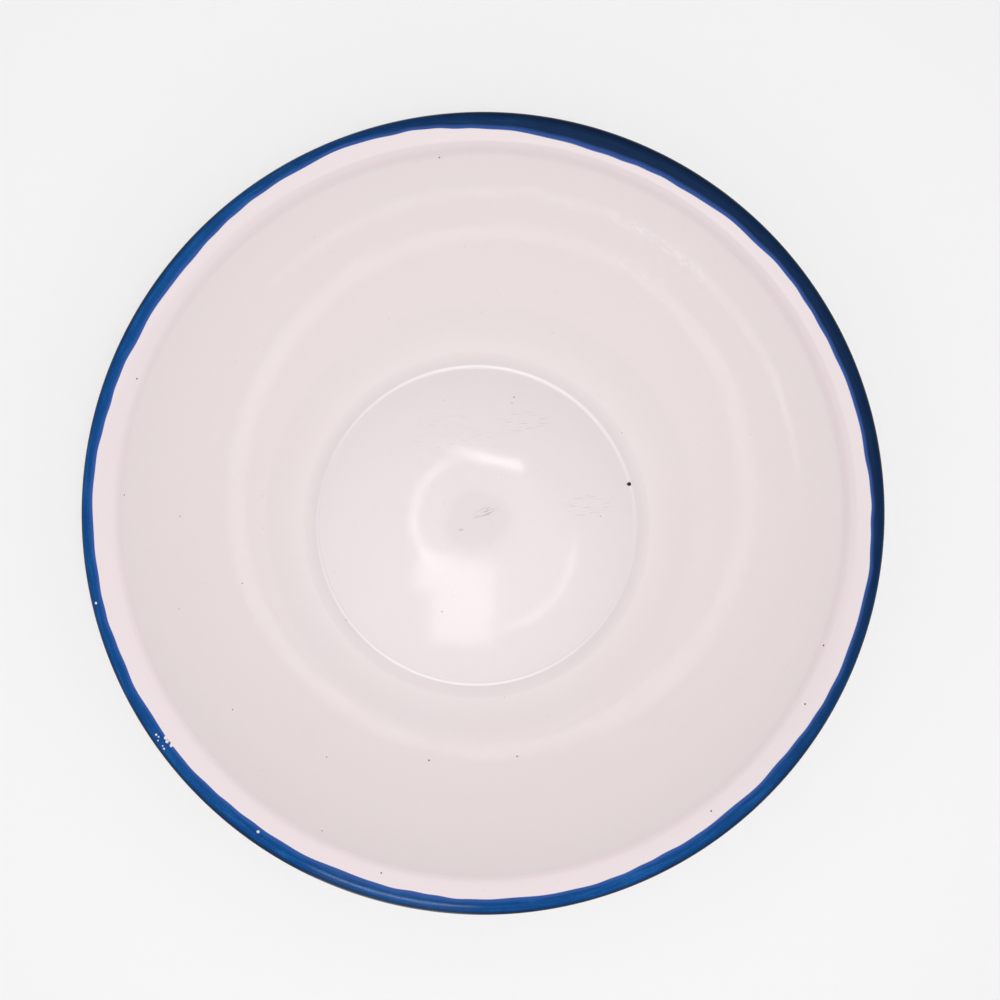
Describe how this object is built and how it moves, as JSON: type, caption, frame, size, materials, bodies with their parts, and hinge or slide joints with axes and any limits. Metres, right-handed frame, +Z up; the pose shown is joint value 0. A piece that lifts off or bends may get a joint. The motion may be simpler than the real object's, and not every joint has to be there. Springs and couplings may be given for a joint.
{
  "type": "enamel basin bowl",
  "caption": "Round enamelled steel basin bowl with a stepped foot, a deep curved wall, a flared lip and a rolled blue rim; holds food or water.",
  "frame": {"origin": "on the table under the middle of the bowl, at the centre of the foot", "axes": "+Z up along the bowl's axis of turning; +X and +Y are free, as the bowl is round"},
  "size_m": [0.26, 0.26, 0.078],
  "materials": {
    "steel_sheet": "drawn low-carbon sheet, hidden under enamel",
    "ground_coat": "near-black fired ground coat, seen only in chips",
    "inner_white_enamel": "glossy warm white fired enamel",
    "outer_white_enamel": "glossy warm white fired enamel",
    "blue_enamel": "glossy hand-applied blue enamel band"
  },
  "bodies": {
    "root": {"steel_bowl": "steel_sheet", "inner_ground_coat": "ground_coat", "outer_ground_coat": "ground_coat", "inner_white_enamel": "inner_white_enamel", "outer_white_enamel": "outer_white_enamel", "blue_rim_enamel": "blue_enamel"}
  },
  "joints": []
}
